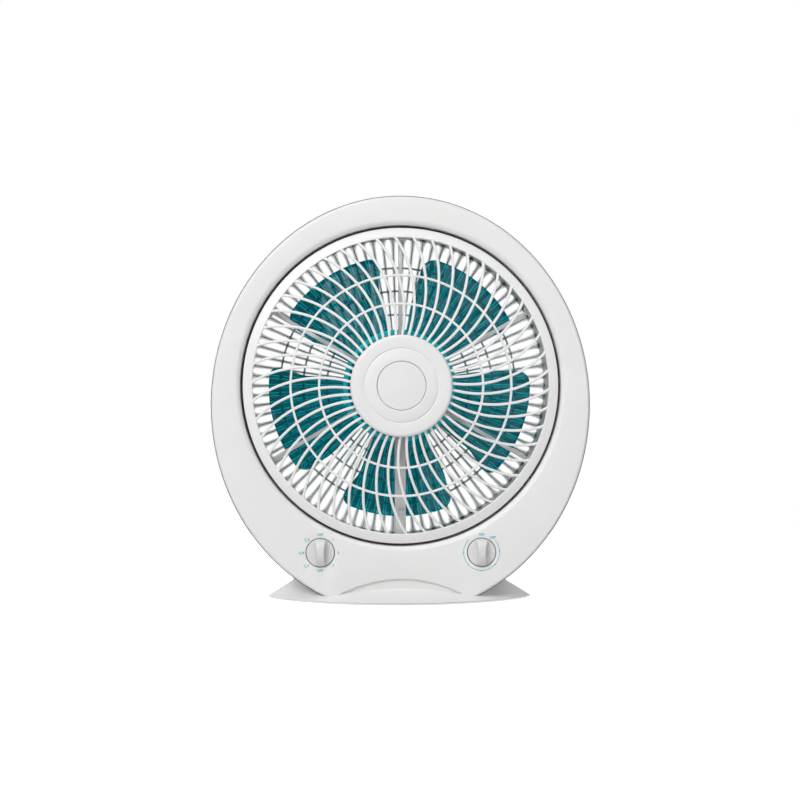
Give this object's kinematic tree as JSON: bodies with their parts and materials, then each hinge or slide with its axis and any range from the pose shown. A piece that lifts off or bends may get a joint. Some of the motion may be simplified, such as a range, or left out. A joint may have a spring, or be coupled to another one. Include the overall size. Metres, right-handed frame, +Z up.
{
  "type": "box fan",
  "caption": "Round-faced table box fan: motor-turned swirl grille over a translucent blade wheel, speed and timer dials, flared pointed foot.",
  "frame": {"origin": "on the floor, under the middle of the foot", "axes": "+Z up, -Y the way the fan blows, +X to the right seen from the front"},
  "size_m": [0.4112, 0.188, 0.4404],
  "materials": {
    "housing_plastic": "satin",
    "foot_plastic": "satin",
    "rear_grille_plastic": "satin",
    "bracket_plastic": "satin",
    "grille_plastic": "satin",
    "cap_plastic": "satin",
    "badge_plastic": "satin",
    "dial_plastic": "satin",
    "blade_plastic": "translucent gloss",
    "nut_plastic": "gloss",
    "rubber": "matte",
    "steel": "zinc plated",
    "motor_metal": "die cast",
    "laminations": "stacked sheet",
    "copper": "enamelled copper wire",
    "bronze": "sintered",
    "switch_plastic": "matte",
    "lead_jacket": "matte"
  },
  "bodies": {
    "housing": {"front_housing": "housing_plastic", "rear_housing": "housing_plastic", "base_foot": "foot_plastic", "base_plate": "foot_plastic", "rear_grille": "rear_grille_plastic", "motor_cover": "rear_grille_plastic", "grille_bracket": "bracket_plastic", "lead_cover": "bracket_plastic", "rubber_feet": "rubber", "cord_gland": "rubber", "housing_screws": "steel", "rear_grille_screws": "steel", "bracket_screws": "steel", "motor_mount_screws": "steel", "motor_cover_screws": "steel", "motor_tie_screws": "steel", "grille_motor_screws": "steel", "base_screws": "steel", "base_plate_screws": "steel", "motor_front_shield": "motor_metal", "motor_rear_shield": "motor_metal", "motor_stator": "laminations", "motor_windings": "copper", "front_bearing": "bronze", "rear_bearing": "bronze", "motor_lead": "lead_jacket", "grille_motor": "motor_metal", "grille_motor_lead": "lead_jacket", "speed_switch": "switch_plastic", "timer_switch": "switch_plastic", "speed_switch_nut": "steel", "timer_switch_nut": "steel", "motor_capacitor": "switch_plastic"},
    "grille": {"rotating_grille": "grille_plastic", "hub_cap": "cap_plastic", "hub_badge": "badge_plastic", "grille_motor_shaft": "steel"},
    "rotor": {"fan_blade": "blade_plastic", "blade_nut": "nut_plastic", "motor_shaft": "steel", "motor_rotor": "laminations"},
    "speed_dial": {"speed_knob": "dial_plastic", "speed_shaft": "steel"},
    "timer_dial": {"timer_knob": "dial_plastic", "timer_shaft": "steel"}
  },
  "joints": [
    {"name": "grille_spin", "type": "hinge", "parent": "housing", "child": "grille", "pos_m": [0, 0, 0.2345], "axis": [0, 1, 0], "continuous": true},
    {"name": "rotor_spin", "type": "hinge", "parent": "housing", "child": "rotor", "pos_m": [0, 0, 0.2345], "axis": [0, 1, 0], "continuous": true},
    {"name": "speed_turn", "type": "hinge", "parent": "housing", "child": "speed_dial", "pos_m": [-0.0874, -0.055, 0.0539], "axis": [0, 1, 0], "continuous": true},
    {"name": "timer_turn", "type": "hinge", "parent": "housing", "child": "timer_dial", "pos_m": [0.0874, -0.055, 0.0539], "axis": [0, 1, 0], "range_deg": [0, 315]}
  ]
}
